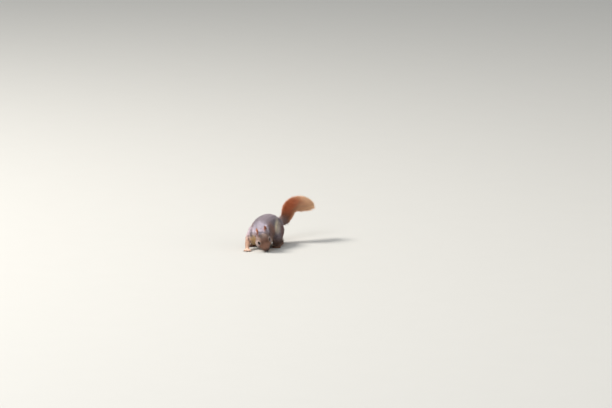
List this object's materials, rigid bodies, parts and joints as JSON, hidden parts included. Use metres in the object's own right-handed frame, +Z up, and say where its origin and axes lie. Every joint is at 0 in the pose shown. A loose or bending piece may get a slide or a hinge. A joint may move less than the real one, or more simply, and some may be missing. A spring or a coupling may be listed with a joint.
{
  "type": "caucasian squirrel",
  "caption": "Still life-size model of a Caucasian squirrel on all fours, foraging with its nose to the ground and its brush raised.",
  "frame": {"origin": "on the floor, under the middle of the whole animal's box", "axes": "+Z up; the trunk runs along Y with the head towards -Y; +X is the squirrel's left"},
  "size_m": [0.1262, 0.2452, 0.1132],
  "materials": {
    "coat": "short dense fur, grey back, brown face and ochre limbs",
    "tail_coat": "long rust-red brush",
    "eye": "wet, near black",
    "nose": "moist bare skin",
    "claw": "dark horn"
  },
  "bodies": {
    "root": {"trunk": "coat", "neck": "coat", "head": "coat", "ear_left": "coat", "ear_right": "coat", "foreleg_left": "coat", "foreleg_right": "coat", "forefoot_left": "coat", "forefoot_right": "coat", "hindleg_left": "coat", "hindleg_right": "coat", "hindfoot_left": "coat", "hindfoot_right": "coat", "tail_base": "tail_coat", "tail_middle": "tail_coat", "tail_tip": "tail_coat", "nose": "nose", "eye_left": "eye", "eye_right": "eye", "claw_fore_left_1": "claw", "claw_fore_left_2": "claw", "claw_fore_left_3": "claw", "claw_fore_left_4": "claw", "claw_fore_right_1": "claw", "claw_fore_right_2": "claw", "claw_fore_right_3": "claw", "claw_fore_right_4": "claw", "claw_hind_left_1": "claw", "claw_hind_left_2": "claw", "claw_hind_left_3": "claw", "claw_hind_left_4": "claw", "claw_hind_left_5": "claw", "claw_hind_right_1": "claw", "claw_hind_right_2": "claw", "claw_hind_right_3": "claw", "claw_hind_right_4": "claw", "claw_hind_right_5": "claw"}
  },
  "joints": []
}
